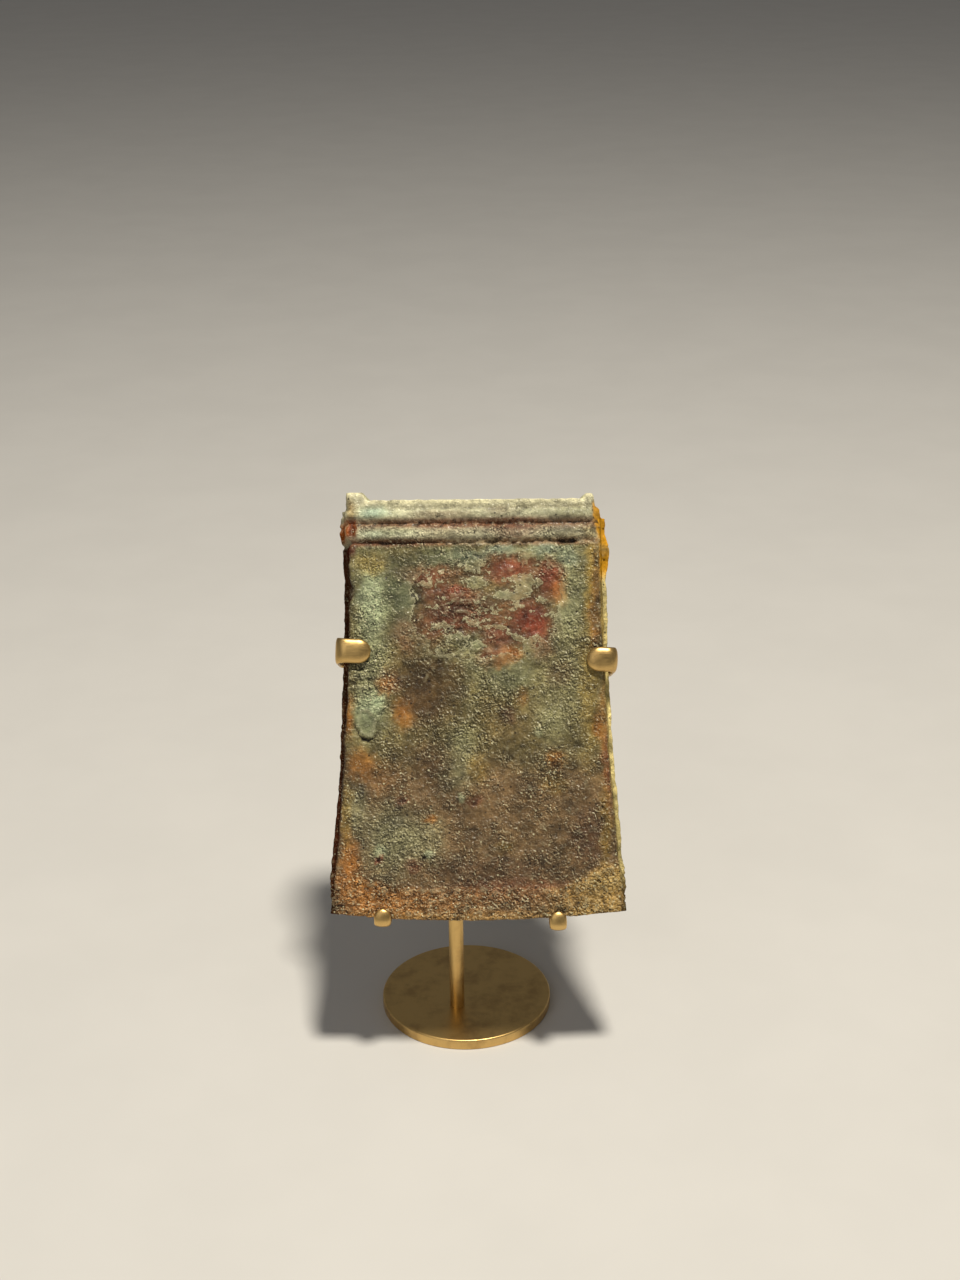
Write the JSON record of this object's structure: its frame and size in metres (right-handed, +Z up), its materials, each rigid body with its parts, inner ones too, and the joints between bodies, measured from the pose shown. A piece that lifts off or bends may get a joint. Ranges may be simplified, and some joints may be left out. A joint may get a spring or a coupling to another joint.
{
  "type": "socketed iron axe head on a display stand",
  "caption": "Old cast-iron axe head with a tapering socket and ridges round its mouth, leaning back in a small brass stand with side tongues and edge hooks.",
  "frame": {"origin": "centre of the foot disc's underside", "axes": "+Z up, away from the surface that the foot stands on; -Y towards the viewer, the side of the axe head's front face; +X to the viewer's right, along the cutting edge"},
  "size_m": [0.092, 0.0772, 0.1726],
  "materials": {
    "iron": "rough corroded surface with olive grey crust, rust-red and yellow patches",
    "brass": "satin, slightly dulled"
  },
  "bodies": {
    "root": {"axe_head": "iron", "side_strap": "brass", "left_edge_hook": "brass", "right_edge_hook": "brass", "lower_crossbar": "brass", "support_rod": "brass", "foot_disc": "brass"}
  },
  "joints": []
}
